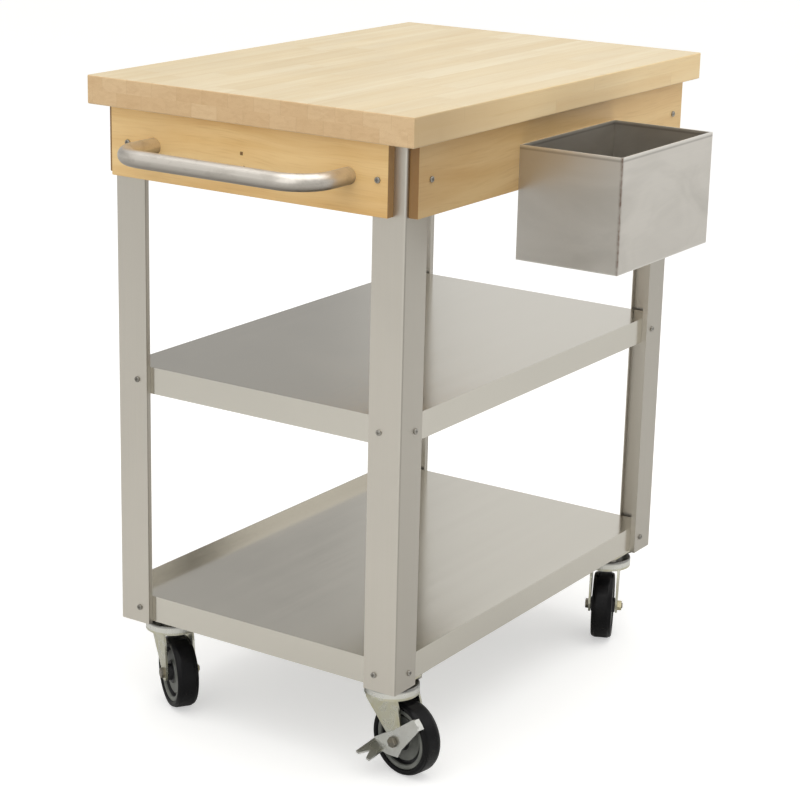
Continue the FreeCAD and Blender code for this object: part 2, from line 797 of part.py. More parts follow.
def brake_shape():
    """Stamped side brake: cheek plate on the axle, shoe over the tread, forked toe pedal."""
    outside = size("fork_gap") / 2 + size("fork_sheet")
    thick = size("brake_sheet")
    near = -(outside + size("brake_gap"))
    trail = size("caster_trail")
    wheel = size("wheel_diameter") / 2
    shoe_inner, shoe_outer = wheel + 1.2, wheel + 1.2 + thick

    def at(a, b, y=0.0):
        return V(trail + a, y, AXLE_HEIGHT + b)

    outline = [(-34, -19), (-12, -22), (9, -20), (16, -6), (43, 27)]
    outline += [(44, 36), (36, 44), (-2, 15), (-20, 5), (-37, -6)]
    plate = Part.Face(Part.makePolygon([at(a, b, near) for a, b in outline + outline[:1]]))
    plate = plate.extrude(V(0, -thick, 0))
    plate = plate.makeFillet(3.0, [e for e in plate.Edges if abs(e.BoundBox.YLength - thick) < 0.01])

    shoe_width = 11.0
    ring = Part.makeCylinder(shoe_outer, shoe_width, at(0, 0, near - thick), V(0, 1, 0))
    ring = ring.cut(Part.makeCylinder(shoe_inner, shoe_width, at(0, 0, near - thick), V(0, 1, 0)))
    low, high = math.radians(34), math.radians(50)
    reach = shoe_outer * 1.5
    sector = Part.makePolygon(
        [
            at(0, 0, near - thick),
            at(reach * math.cos(low), reach * math.sin(low), near - thick),
            at(reach * math.cos(high), reach * math.sin(high), near - thick),
            at(0, 0, near - thick),
        ]
    )
    shoe = ring.common(Part.Face(sector).extrude(V(0, shoe_width, 0)))

    pedal_length, drop = 36.0, 9.0
    corners = [at(-36, -6, near), at(-11, -10, near), at(-11, -10 - thick, near), at(-36, -6 - thick, near)]
    root = Part.Face(Part.makePolygon(corners + corners[:1]))
    pedal = root.extrude(V(0, -pedal_length, -drop))
    notch = Part.Face(
        Part.makePolygon(
            [
                at(-31, 10, near - pedal_length - 1),
                at(-16, 10, near - pedal_length - 1),
                at(-23.5, 10, near - pedal_length + 14),
                at(-31, 10, near - pedal_length - 1),
            ]
        )
    ).extrude(V(0, 0, -60))
    pedal = pedal.cut(notch)
    lever = plate.fuse(shoe).fuse(pedal).removeSplitter()
    bore = Part.makeCylinder(size("axle_diameter") / 2 + 0.08, thick + 2, at(0, 0, near + 1), V(0, -1, 0))
    return lever.cut(bore)


def make_wheel(corner, centre, turn):
    """Grooved hard core and rolled-edge tread, both turned about the axle."""
    half_width, tread_radius = "wheel_width / 2", "wheel_diameter / 2"
    core_radius = "(wheel_diameter / 2 - tread_depth)"
    bore = "(sleeve_diameter / 2 + 0.08)"
    hub_half = "(fork_gap / 2 - 0.6)"
    hub, web, rim = "11", "6", f"({core_radius} - 6)"
    core_half = [
        (bore, hub_half),
        (hub, hub_half),
        ("15", f"{web} + 2"),
        (rim, web),
        (f"{rim} + 1.5", f"{half_width} - 3"),
        (core_radius, f"{half_width} - 3"),
    ]
    core_outline = core_half + [(x, f"-({z})") for x, z in reversed(core_half)]
    core, _ = revolved_body("core_" + corner, core_outline)
    edge, shoulder = "4.5", "1.6"
    tread_half = [
        (core_radius, f"{half_width} - 3"),
        (f"{core_radius} + 1", f"{half_width} - 0.8"),
        (f"{tread_radius} - {edge} - 1.5", half_width),
        (f"{tread_radius} - {shoulder}", f"{half_width} - {shoulder}"),
        (f"{tread_radius} - 0.4", f"{half_width} - {edge}"),
        (tread_radius, f"{half_width} - {edge} - 3"),
    ]
    tread_outline = tread_half + [(x, f"-({z})") for x, z in reversed(tread_half)]
    tread, _ = revolved_body("tread_" + corner, tread_outline)
    swivel = FreeCAD.Placement(centre, FreeCAD.Rotation(V(0, 0, 1), turn))
    axle = FreeCAD.Placement(V(size("caster_trail"), 0, AXLE_HEIGHT), FreeCAD.Rotation(V(1, 0, 0), 90))
    for body, piece in ((core, "wheel_core"), (tread, "wheel_tread")):
        body.Label = f"caster_{corner}_{piece}"
        body.Placement = swivel.multiply(axle)
        NODES.append(body)


def make_casters():
    sleeve_length = size("fork_gap") - 0.1
    for corner, centre in caster_centres():
        turn = TRAIL_ANGLE[corner]
        braked = corner in BRAKED
        sleeve = Part.makeCylinder(size("sleeve_diameter") / 2, sleeve_length)
        sleeve = sleeve.cut(Part.makeCylinder(size("axle_diameter") / 2, sleeve_length))
        sleeve = aimed(sleeve, V(size("caster_trail"), -sleeve_length / 2, AXLE_HEIGHT), V(0, 1, 0))
        pieces = {
            "fork": fork_shape(),
            "axle_bolt": axle_bolt_shape(braked),
            "axle_nut": axle_nut_shape(),
            "axle_sleeve": sleeve,
        }
        if braked:
            pieces["brake_lever"] = brake_shape()
        for piece, shape in pieces.items():
            obj = doc.addObject("Part::Feature", f"{piece}_{corner}")
            obj.Shape = Part.makeCompound([shape]) if not shape.Placement.isIdentity() else shape
            finish(obj, f"caster_{corner}_{piece}", centre, turn)
        make_wheel(corner, centre, turn)


# ---------------------------------------------------------------- assembly and export

make_top()
make_aprons()
make_legs()
make_shelves()
make_handle()
make_bin()
make_frame_fasteners()
wood_screws = make_top_brackets()
for wooden in ("butcher_block_top", "apron_front", "apron_back"):
    pilot_holes(wooden, wood_screws)
make_caster_channels()
make_top_plates()
make_mount_fasteners()
make_kingpins_and_balls()
make_casters()

doc.removeObject(scratch.Name)
doc.recompute()
failed = [o.Label for o in doc.Objects if "Invalid" in o.State or "Error" in o.State]
if failed:
    raise RuntimeError("failed objects: " + ", ".join(failed))
for node in NODES:
    if node.Shape.isNull() or not node.Shape.isValid() or not node.Shape.Solids:
        raise RuntimeError("bad shape: " + node.Label)

os.makedirs("parts", exist_ok=True)
for node in NODES:
    node.Shape.exportStep(f"parts/{node.Label}.step")
print(len(NODES), "sub-parts written")
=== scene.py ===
"""Looks of the kitchen island cart: materials, wheels and small trim, studio and camera. Metres."""

import json
import math

import bpy
from mathutils import Matrix, Vector


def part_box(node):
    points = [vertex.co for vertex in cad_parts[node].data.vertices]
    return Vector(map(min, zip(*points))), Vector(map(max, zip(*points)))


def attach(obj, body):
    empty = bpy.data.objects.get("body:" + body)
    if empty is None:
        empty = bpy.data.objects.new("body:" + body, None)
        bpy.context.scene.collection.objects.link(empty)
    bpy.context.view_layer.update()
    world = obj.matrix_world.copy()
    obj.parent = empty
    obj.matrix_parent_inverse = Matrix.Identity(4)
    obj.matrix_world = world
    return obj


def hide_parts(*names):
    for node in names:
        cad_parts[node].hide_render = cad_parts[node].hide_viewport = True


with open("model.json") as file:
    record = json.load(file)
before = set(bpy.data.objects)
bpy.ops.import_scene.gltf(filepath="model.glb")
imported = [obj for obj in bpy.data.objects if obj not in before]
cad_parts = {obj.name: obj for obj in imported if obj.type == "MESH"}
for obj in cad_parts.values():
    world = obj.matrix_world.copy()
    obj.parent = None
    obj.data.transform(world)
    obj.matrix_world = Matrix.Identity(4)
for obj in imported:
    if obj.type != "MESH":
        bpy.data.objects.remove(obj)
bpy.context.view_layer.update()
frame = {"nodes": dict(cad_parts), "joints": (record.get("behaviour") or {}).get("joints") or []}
NODES = frame["nodes"]
JOINTS = {joint["name"]: joint for joint in frame["joints"]}
CORNERS = ("front_left", "back_left", "front_right", "back_right")


# ---------------------------------------------------------------- shader graphs


class Graph:
    """A material and short names for the shader nodes that it needs."""

    def __init__(self, name):
        self.material = bpy.data.materials.new(name)
        self.material.use_nodes = True
        self.tree = self.material.node_tree
        self.shader = self.tree.nodes["Principled BSDF"]
        self.coords = self.node("ShaderNodeTexCoord")
        self.place = self.coords.outputs["Object"]
        self.normal = self.coords.outputs["Normal"]

    def node(self, kind, **settings):
        made = self.tree.nodes.new(kind)
        for key, value in settings.items():
            setattr(made, key, value)
        return made

    def put(self, socket, value):
        if isinstance(value, bpy.types.NodeSocket):
            self.tree.links.new(value, socket)
        else:
            socket.default_value = value

    def look(self, **values):
        """Set sockets of the surface shader, written with _ for a space."""
        for key, value in values.items():
            self.put(self.shader.inputs[key.replace("_", " ")], value)
        return self.material

    def math(self, operation, a, b=0.0, clamp=False):
        made = self.node("ShaderNodeMath", operation=operation, use_clamp=clamp)
        self.put(made.inputs[0], a)
        self.put(made.inputs[1], b)
        return made.outputs[0]

    def split(self, vector):
        made = self.node("ShaderNodeSeparateXYZ")
        self.put(made.inputs[0], vector)
        return made.outputs

    def join(self, x, y, z):
        made = self.node("ShaderNodeCombineXYZ")
        for socket, value in zip(made.inputs, (x, y, z)):
            self.put(socket, value)
        return made.outputs[0]

    def scaled(self, vector, stretch):
        made = self.node("ShaderNodeVectorMath", operation="MULTIPLY")
        self.put(made.inputs[0], vector)
        self.put(made.inputs[1], stretch)
        return made.outputs[0]

    def moved(self, vector, offset):
        made = self.node("ShaderNodeVectorMath", operation="ADD")
        self.put(made.inputs[0], vector)
        self.put(made.inputs[1], offset)
        return made.outputs[0]

    def noise(self, vector, scale=1.0, detail=2.0, roughness=0.5, distortion=0.0):
        made = self.node("ShaderNodeTexNoise")
        self.put(made.inputs["Vector"], vector)
        self.put(made.inputs["Scale"], scale)
        self.put(made.inputs["Detail"], detail)
        self.put(made.inputs["Roughness"], roughness)
        self.put(made.inputs["Distortion"], distortion)
        return made.outputs["Fac"]

    def chance(self, vector):
        made = self.node("ShaderNodeTexWhiteNoise", noise_dimensions="3D")
        self.put(made.inputs["Vector"], vector)
        return made.outputs["Value"]

    def span(self, value, low, high, to_low=0.0, to_high=1.0):
        made = self.node("ShaderNodeMapRange", clamp=True)
        for socket, number in zip(made.inputs, (value, low, high, to_low, to_high)):
            self.put(socket, number)
        return made.outputs[0]

    def mix(self, factor, a, b):
        made = self.node("ShaderNodeMix", data_type="RGBA")
        self.put(made.inputs[0], factor)
        self.put(made.inputs[6], a if isinstance(a, bpy.types.NodeSocket) else (*a, 1.0))
        self.put(made.inputs[7], b if isinstance(b, bpy.types.NodeSocket) else (*b, 1.0))
        return made.outputs[2]

    def bump(self, height, strength, distance=0.001):
        made = self.node("ShaderNodeBump")
        self.put(made.inputs["Strength"], strength)
        self.put(made.inputs["Distance"], distance)
        self.put(made.inputs["Height"], height)
        return made.outputs["Normal"]


def rgb(red, green, blue):
    """Linear colour of an 8-bit screen colour."""
    return tuple(
        c / 12.92 if c <= 0.04045 else ((c + 0.055) / 1.055) ** 2.4
        for c in (red / 255, green / 255, blue / 255)
    )


# ---------------------------------------------------------------- materials

BLOCK_END, _, BLOCK_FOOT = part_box("butcher_block_top")[0]
STAVE_WIDTH = 0.041
STAVE_LENGTH = 0.33
LAYER = 0.0195
LAYER_SHIFT = 0.017  # sideways step of the strips from one layer to the next


def block_wood():
    """Two layers of long strips glued side by side, with butt joints along each strip."""
    g = Graph("block_wood")
    x, y, z = g.split(g.place)
    layer = g.math("FLOOR", g.math("DIVIDE", g.math("SUBTRACT", z, BLOCK_FOOT - 0.0005), LAYER))
    across = g.math("ADD", y, g.math("MULTIPLY", layer, LAYER_SHIFT))
    across = g.math("DIVIDE", across, STAVE_WIDTH)
    strip = g.math("FLOOR", across)
    shift = g.chance(g.join(strip, layer, 3.0))
    along = g.math("ADD", g.math("DIVIDE", x, STAVE_LENGTH), shift)
    piece = g.math("FLOOR", along)
    tone = g.chance(g.join(strip, piece, layer))
    hue = g.chance(g.join(piece, layer, strip))

    drift = g.scaled(g.join(tone, hue, tone), (3.0, 5.0, 7.0))
    place = g.moved(g.place, drift)
    grain = g.noise(g.scaled(place, (2.2, 46.0, 46.0)), 1.0, 4.0, 0.6, 0.35)
    pores = g.noise(g.scaled(place, (26.0, 900.0, 900.0)), 1.0, 2.0, 0.6)
    cloud = g.noise(place, 9.0, 3.0, 0.5)

    def sanded(pale, warm, amber, pore):
        """Grain, strip-to-strip tone, pores and clouding in four colours."""
        face = g.mix(g.span(grain, 0.32, 0.72), pale, warm)
        face = g.mix(g.span(tone, 0.0, 1.0, 0.0, 0.34), face, amber)
        face = g.mix(g.span(pores, 0.56, 0.75, 0.0, 0.22), face, pore)
        return g.mix(g.span(cloud, 0.4, 0.7, 0.0, 0.14), face, tuple(c * 1.06 for c in pale))

    face = sanded(rgb(225, 212, 182), rgb(215, 194, 154), rgb(201, 175, 129), rgb(178, 146, 103))

    rings = g.noise(g.scaled(place, (20.0, 60.0, 160.0)), 1.0, 3.0, 0.55, 0.8)
    end = g.mix(g.span(tone, 0.0, 1.0), rgb(221, 187, 141), rgb(229, 198, 154))
    end = g.mix(g.span(rings, 0.42, 0.75, 0.0, 0.34), end, rgb(198, 158, 112))
    specks = g.noise(g.place, 900.0, 2.0, 0.6)
    end = g.mix(g.span(specks, 0.5, 0.8, 0.0, 0.2), end, rgb(160, 120, 84))
    nx, ny, _ = g.split(g.normal)
    is_end = g.span(g.math("ABSOLUTE", nx), 0.6, 0.8)
    is_side = g.span(g.math("ABSOLUTE", ny), 0.6, 0.8)
    # Painted light: the faces that look along Y get a brighter copy of the wood.
    side = sanded(rgb(252, 228, 182), rgb(240, 208, 152), rgb(232, 196, 140), rgb(200, 164, 110))
    # Painted shade: those faces darken towards the block's handle end.
    side = g.mix(g.span(x, BLOCK_END + 0.06, BLOCK_END + 0.3, 0.75, 0.0), side, rgb(186, 158, 116))
    colour = g.mix(is_side, face, side)
    colour = g.mix(is_end, colour, end)

    seam_y = g.math("ABSOLUTE", g.math("SUBTRACT", g.math("FRACT", across), 0.5))
    seam_x = g.math("ABSOLUTE", g.math("SUBTRACT", g.math("FRACT", along), 0.5))
    line_y = g.span(seam_y, 0.489, 0.4995)
    line_x = g.span(seam_x, 0.4986, 0.49985)
    line = g.math("MAXIMUM", line_y, line_x)
    colour = g.mix(g.math("MULTIPLY", line, 0.22), colour, rgb(160, 118, 76))
    height = g.math("SUBTRACT", g.math("MULTIPLY", grain, 0.3), g.math("MULTIPLY", line, 0.6))
    return g.look(
        Base_Color=colour,
        Roughness=g.span(cloud, 0.3, 0.7, 0.42, 0.56),
        Normal=g.bump(height, 0.25, 0.0004),
    )


def board_wood(name, axis, light=1.0, lift=1.0, handle_end_shade=0.0):
    """Lacquered board with its grain along an axis, darker on the sawn ends, where the end grain's
    own darker tone is deepened with painted shade.

    lift scales the wood's brightness; the last argument paints shade over the handle end of a long
    board.
    """
    g = Graph(name)
    long_way = (2.4, 30.0, 30.0) if axis == "x" else (30.0, 2.4, 30.0)
    fine_way = (20.0, 520.0, 520.0) if axis == "x" else (520.0, 20.0, 520.0)
    warp = g.noise(g.place, 3.0, 2.0)
    place = g.moved(g.place, g.join(0.0, 0.0, g.math("MULTIPLY", warp, 0.05)))
    grain = g.noise(g.scaled(place, long_way), 1.0, 4.0, 0.6, 0.8)
    fine = g.noise(g.scaled(place, fine_way), 1.0, 2.0, 0.55)
    cloud = g.noise(g.place, 6.0, 2.0)
    colour = g.mix(g.span(grain, 0.34, 0.7), rgb(230, 196, 134), rgb(214, 172, 106))
    colour = g.mix(g.span(fine, 0.52, 0.76, 0.0, 0.3), colour, rgb(186, 140, 80))
    colour = g.mix(g.span(cloud, 0.35, 0.7, 0.0, 0.3), colour, rgb(236, 206, 148))
    colour = g.scaled(colour, (lift, lift, lift * 1.06))
    x, _, _ = g.split(g.place)
    # Painted shade: darker towards the handle end.
    colour = g.mix(g.span(x, BLOCK_END, BLOCK_END + 0.5, handle_end_shade, 0.0), colour, rgb(140, 112, 76))
    nx, ny, _ = g.split(g.normal)
    end = g.span(g.math("ABSOLUTE", nx if axis == "x" else ny), 0.6, 0.8)
    # Sawn ends: the end grain's darker tone, deepened with painted shade.
    colour = g.mix(g.math("MULTIPLY", end, 0.85), colour, rgb(138, 98, 50))
    return g.look(
        Base_Color=g.mix(1.0 - light, colour, rgb(120, 90, 50)),
        Roughness=g.span(cloud, 0.3, 0.7, 0.3, 0.42),
        Normal=g.bump(g.math("ADD", grain, fine), 0.12, 0.0004),
    )


def brushed_steel(
    name,
    colour,
    axis,
    rough=0.36,
    line_depth=0.02,
    patch=0.06,
    lines_dark=0.965,
    ends=1.0,
    sides=1.0,
    painted_light_and_marks=None,
):
    """Sheet steel ground along an axis, with slow clouding from handling.

    line_depth is the relief of the grinding lines and lines_dark their tone.
    patch is how much duller the handled areas are.
    ends and sides scale the brightness of the faces that look along X and along Y: painted light
    and shade by face direction.
    The last argument paints highlights and shade, such as a shaded crease, and smudges onto the
    finished tint.
    """
    g = Graph(name)
    long_way = {"x": (6.0, 700.0, 700.0), "y": (700.0, 6.0, 700.0), "z": (700.0, 700.0, 6.0)}[axis]
    lines = g.noise(g.scaled(g.place, long_way), 1.0, 3.0, 0.6)
    bands = g.noise(g.scaled(g.place, tuple(v / 14 for v in long_way)), 1.0, 2.0, 0.5)
    cloud = g.noise(g.place, 4.5, 3.0, 0.55, 0.6)
    dark = tuple(c * lines_dark for c in colour)
    tint = g.mix(g.span(lines, 0.3, 0.7), dark, colour)
    tint = g.mix(g.span(cloud, 0.35, 0.7, 0.0, 0.3), tint, tuple(min(1.0, c * 1.1) for c in colour))
    # Painted light and shade: faces that look along X and along Y are brightened or darkened by
    # ends and sides.
    nx, ny, _ = g.split(g.normal)
    is_end = g.span(g.math("ABSOLUTE", nx), 0.6, 0.8, 1.0, ends)
    is_side = g.span(g.math("ABSOLUTE", ny), 0.6, 0.8, 1.0, sides)
    face_painted_light = g.math("MULTIPLY", is_end, is_side)
    tint = g.scaled(tint, g.join(face_painted_light, face_painted_light, face_painted_light))
    # Painted highlights and shade, with smudges, from the last argument.
    if painted_light_and_marks:
        tint = painted_light_and_marks(g, tint)
    gloss = g.span(lines, 0.3, 0.7, rough - 0.02, rough + 0.03)
    gloss = g.math("ADD", gloss, g.span(cloud, 0.3, 0.7, 0.0, patch))
    gloss = g.math("ADD", gloss, g.span(bands, 0.3, 0.7, -0.015, 0.02))
    return g.look(
        Base_Color=tint,
        Metallic=1.0,
        Roughness=gloss,
        Normal=g.bump(lines, line_depth, 0.0002),
    )


LEG_OUT_X = max(abs(corner[0]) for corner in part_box("leg_front_left"))
BIN_LOW, BIN_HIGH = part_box("side_bin")
CROWN_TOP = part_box("caster_front_left_fork")[1][2]


def near(g, value, target, reach):
    """1 at a target value, falling to 0 within a reach of it."""
    return g.span(g.math("ABSOLUTE", g.math("SUBTRACT", value, target)), 0.0, reach, 1.0, 0.0)


def leg_corner_painted_shade(g, tint):
    """Painted shade: a soft dark line down the outer corner of a leg, on its faces that look along
    Y.
    """
    x, _, _ = g.split(g.place)
    _, ny, _ = g.split(g.normal)
    crease = near(g, g.math("ABSOLUTE", x), LEG_OUT_X, 0.0035)
    crease = g.math("MULTIPLY", crease, g.span(g.math("ABSOLUTE", ny), 0.6, 0.8))
    return g.mix(g.math("MULTIPLY", crease, 0.5), tint, rgb(120, 112, 102))


def bin_smudges_and_painted_light(g, tint):
    """Painted highlights along the rolled rim and the bottom hem, painted shade just under the rim,
    smudges, and a mottled dark brown line down the near corner.
    """
    x, y, z = g.split(g.place)
    rim_highlight = near(g, z, BIN_HIGH[2], 0.0028)
    under_rim_shade = near(g, z, BIN_HIGH[2] - 0.0045, 0.002)
    hem_highlight = near(g, z, BIN_LOW[2], 0.0022)
    corner_line = g.math("MULTIPLY", near(g, x, BIN_LOW[0], 0.004), near(g, y, BIN_LOW[1], 0.004))
    blotch = g.noise(g.place, 120.0, 2.0)
    smear = g.noise(g.scaled(g.place, (7.0, 7.0, 16.0)), 1.0, 3.0, 0.6, 0.8)
    tint = g.mix(g.span(smear, 0.45, 0.7, 0.0, 0.3), tint, rgb(172, 168, 160))
    # Painted shade just under the rim.
    tint = g.mix(g.math("MULTIPLY", under_rim_shade, 0.45), tint, rgb(110, 104, 98))
    # Painted highlights along the rim and the bottom hem.
    tint = g.mix(g.math("MULTIPLY", g.math("MAXIMUM", rim_highlight, hem_highlight), 0.9), tint, rgb(238, 236, 230))
    corner_line = g.math("MULTIPLY", corner_line, g.span(blotch, 0.35, 0.65, 0.4, 0.95))
    return g.mix(corner_line, tint, rgb(112, 88, 72))


def crown_painted_light(g, tint):
    """Turned crown of a fork: a painted dark reflection near its top and a painted highlight along
    its rim.
    """
    _, _, z = g.split(g.place)
    rim_highlight = g.span(z, CROWN_TOP - 0.0155, CROWN_TOP - 0.0145, 0.0, 0.8)
    top_dark_reflection = g.span(z, CROWN_TOP - 0.009, CROWN_TOP - 0.006, 0.0, 0.75)
    tint = g.mix(rim_highlight, tint, rgb(232, 232, 228))
    return g.mix(top_dark_reflection, tint, rgb(92, 90, 90))


def handle_smudges_and_painted_shade(g, tint):
    """Painted shade on the downward-facing underside of the bar, with smudges."""
    _, _, nz = g.split(g.normal)
    smudge = g.noise(g.scaled(g.place, (60.0, 30.0, 60.0)), 1.0, 3.0, 0.6, 0.5)
    # Painted shade: darker where the surface faces down.
    lower = g.span(nz, -0.6, 0.2, 0.7, 0.0)
    tint = g.mix(lower, tint, rgb(98, 91, 83))
    return g.mix(g.span(smudge, 0.48, 0.7, 0.0, 0.3), tint, rgb(150, 143, 132))


def zinc(name, colour, rough=0.3, bloom_colour=rgb(206, 200, 160), painted_light_and_marks=None):
    """Bright zinc plate with a faint yellow-green passivation bloom."""
    g = Graph(name)
    bloom = g.noise(g.place, 46.0, 3.0, 0.6, 0.8)
    grit = g.noise(g.place, 900.0, 2.0, 0.6)
    tint = g.mix(g.span(bloom, 0.35, 0.7), colour, bloom_colour)
    tint = g.mix(g.span(grit, 0.5, 0.8, 0.0, 0.1), tint, rgb(150, 152, 148))
    # The last argument paints highlights and shade onto the tint.
    if painted_light_and_marks:
        tint = painted_light_and_marks(g, tint)
    return g.look(
        Base_Color=tint,
        Metallic=1.0,
        Roughness=g.span(bloom, 0.3, 0.7, rough - 0.04, rough + 0.1),
        Normal=g.bump(grit, 0.05, 0.0002),
    )


def moulded(name, colour, rough, coat=0.0, grain=0.2, shine=0.5):
    """Rubber or plastic with mould texture, scuffs and dust."""
    g = Graph(name)
    cloud = g.noise(g.place, 60.0, 3.0, 0.6)
    grit = g.noise(g.place, 1400.0, 2.0, 0.5)
    lighter = tuple(c * 1.7 + 0.002 for c in colour)
    tint = g.mix(g.span(cloud, 0.4, 0.75, 0.0, 0.6), colour, lighter)
    return g.look(
        Base_Color=tint,
        Roughness=g.span(cloud, 0.3, 0.7, rough - 0.06, rough + 0.1),
        Coat_Weight=coat,
        Coat_Roughness=0.2,
        Specular_IOR_Level=shine,
        Normal=g.bump(grit, grain, 0.0002),
    )


# Legs: painted light on the faces that look along X, painted shade on those that look along Y and
# down the outer corner.
LEG_STEEL = brushed_steel(
    "leg_steel", rgb(210, 205, 195), "z", 0.36, ends=1.06, sides=0.83, painted_light_and_marks=leg_corner_painted_shade
)
# Shelves: painted light on the faces that look along X.
SHELF_STEEL = brushed_steel(
    "shelf_steel", rgb(212, 208, 198), "x", 0.16, 0.012, 0.04, 0.98, ends=1.08
)
CHANNEL_STEEL = brushed_steel("channel_steel", rgb(190, 186, 176), "y", 0.4)
# Bin: painted light on the faces that look along Y, with painted rim highlights and shade.
BIN_STEEL = brushed_steel(
    "bin_steel_look", rgb(204, 200, 193), "x", 0.33, 0.015, sides=1.16, painted_light_and_marks=bin_smudges_and_painted_light
)
HANDLE_STEEL = brushed_steel(
    "handle_steel_look", rgb(230, 224, 215), "y", 0.34, 0.06, 0.12, 0.9, painted_light_and_marks=handle_smudges_and_painted_shade
)
BLOCK = block_wood()
# Long boards: painted shade towards the handle end.
BOARD_X = board_wood("apron_wood_x", "x", lift=1.06, handle_end_shade=0.5)
BOARD_Y = board_wood("apron_wood_y", "y", lift=1.12)
PLUG = board_wood("plug_wood", "x", 0.25)
FORK = zinc("fork_look", rgb(212, 212, 200), 0.26, rgb(208, 204, 176), crown_painted_light)
ZINC = zinc("zinc_look", rgb(212, 212, 200), 0.26, rgb(208, 204, 176))
LEVER = zinc("lever_look", rgb(222, 223, 219), 0.28, rgb(212, 212, 206))
FASTENER = zinc("fastener_look", rgb(178, 175, 168), 0.3, rgb(140, 137, 130))
AXLE = zinc("axle_look", rgb(128, 124, 116), 0.3, rgb(150, 142, 122))
BRASSY = zinc("nut_look", rgb(200, 190, 158), 0.26)
RUBBER = moulded("rubber_look", (0.003, 0.003, 0.0036), 0.3, 0.1, shine=0.14)
CORE = moulded("core_look", (0.14, 0.145, 0.13), 0.4)
CORE_DARK = moulded("core_dark_look", (0.014, 0.014, 0.015), 0.45)


def paint(name, material):
    """Give a CAD node one material."""
    mesh = NODES[name].data
    mesh.materials.clear()
    mesh.materials.append(material)


LOOKS = {
    "butcher_block_top": BLOCK,
    "apron_handle_end": BOARD_Y,
    "apron_far_end": BOARD_Y,
    "apron_front": BOARD_X,
    "apron_back": BOARD_X,
    "mid_shelf": SHELF_STEEL,
    "lower_shelf": SHELF_STEEL,
    "push_handle": HANDLE_STEEL,
    "side_bin": BIN_STEEL,
    "caster_channel_left": CHANNEL_STEEL,
    "caster_channel_right": CHANNEL_STEEL,
    "top_brackets": ZINC,
}
for node_name in NODES:
    if node_name in LOOKS:
        paint(node_name, LOOKS[node_name])
    elif node_name.startswith("leg_"):
        paint(node_name, LEG_STEEL)
    elif node_name.endswith("brake_lever"):
        paint(node_name, LEVER)
    elif node_name.endswith("fork"):
        paint(node_name, FORK)
    elif node_name.endswith("top_plate"):
        paint(node_name, ZINC)
    elif node_name.endswith("axle_bolt"):
        paint(node_name, AXLE)
    elif node_name.endswith("axle_nut"):
        paint(node_name, BRASSY)
    else:
        paint(node_name, FASTENER)


# ---------------------------------------------------------------- soft edges


def soften(name, width, segments=2):
    """Round a CAD node's sharp edges a little, so that they catch the light."""
    bevel = NODES[name].modifiers.new("soft_edges", "BEVEL")
    bevel.width = width
    bevel.segments = segments
    bevel.limit_method = "ANGLE"
    bevel.angle_limit = math.radians(40)
    bevel.harden_normals = True


for node_name in NODES:
    if node_name.endswith(("fork", "brake_lever")):
        soften(node_name, 0.0009)
    elif node_name.startswith("leg_") or node_name.endswith(("_shelf", "top_plate")):
        soften(node_name, 0.0004)
soften("side_bin", 0.0007)


def block(name, low, high, material):
    """A plain box between two corners."""
    mesh = bpy.data.meshes.new(name)
    xs, ys, zs = zip(low, high)
    verts = [(x, y, z) for x in xs for y in ys for z in zs]
    faces = [(0, 1, 3, 2), (4, 6, 7, 5), (0, 4, 5, 1), (2, 3, 7, 6), (0, 2, 6, 4), (1, 5, 7, 3)]
    mesh.from_pydata(verts, [], faces)
    mesh.materials.append(material)
    obj = bpy.data.objects.new(name, mesh)
    bpy.context.scene.collection.objects.link(obj)
    return obj


board_low, board_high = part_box("apron_handle_end")
board_middle = (board_low[2] + board_high[2]) / 2
PLUG_PROUD = 0.0002
PLUG_DEPTH = 0.002
# name: (place along the board, rise above its middle, half size)
PLUGS = {"look_plug_upper": (0.0107, 0.0077, 0.0022), "look_plug_lower": (0.0067, -0.009, 0.0012)}
for plug_name, (plug_y, plug_rise, half) in PLUGS.items():
    face = board_low[0]
    middle = (plug_y, board_middle + plug_rise)
    plug = block(
        plug_name,
        (face - PLUG_PROUD, middle[0] - half, middle[1] - half),
        (face + PLUG_DEPTH, middle[0] + half, middle[1] + half),
        PLUG,
    )
    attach(plug, "frame")

# ---------------------------------------------------------------- wheels


def lathe(name, profile, materials, pick, at, axis, steps=96):
    """A closed profile of (radius, height) pairs turned about an axis through a point."""
    along = Vector(axis).normalized()
    side = along.orthogonal().normalized()
    other = along.cross(side)
    verts, faces, slots = [], [], []
    count = len(profile)
    for step in range(steps):
        turn = 2 * math.pi * step / steps
        out = side * math.cos(turn) + other * math.sin(turn)
        verts += [Vector(at) + out * r + along * h for r, h in profile]
    for step in range(steps):
        here, there = step * count, (step + 1) % steps * count
        for i in range(count):
            j = (i + 1) % count
            faces.append((here + i, there + i, there + j, here + j))
            slots.append(pick((profile[i][0] + profile[j][0]) / 2))
    mesh = bpy.data.meshes.new(name)
    mesh.from_pydata(verts, [], faces)
    for material in materials:
        mesh.materials.append(material)
    for polygon, slot in zip(mesh.polygons, slots):
        polygon.material_index = slot
        polygon.use_smooth = True
    mesh.validate()
    mesh.update()
    obj = bpy.data.objects.new(name, mesh)
    bpy.context.scene.collection.objects.link(obj)
    crease = obj.modifiers.new("creases", "EDGE_SPLIT")
    crease.split_angle = math.radians(34)
    return obj


def mirrored(half):
    """A whole closed profile from the half above the wheel's middle plane, in millimetres."""
    whole = half + [(r, -h) for r, h in reversed(half)]
    return [(r / 1000, h / 1000) for r, h in whole]


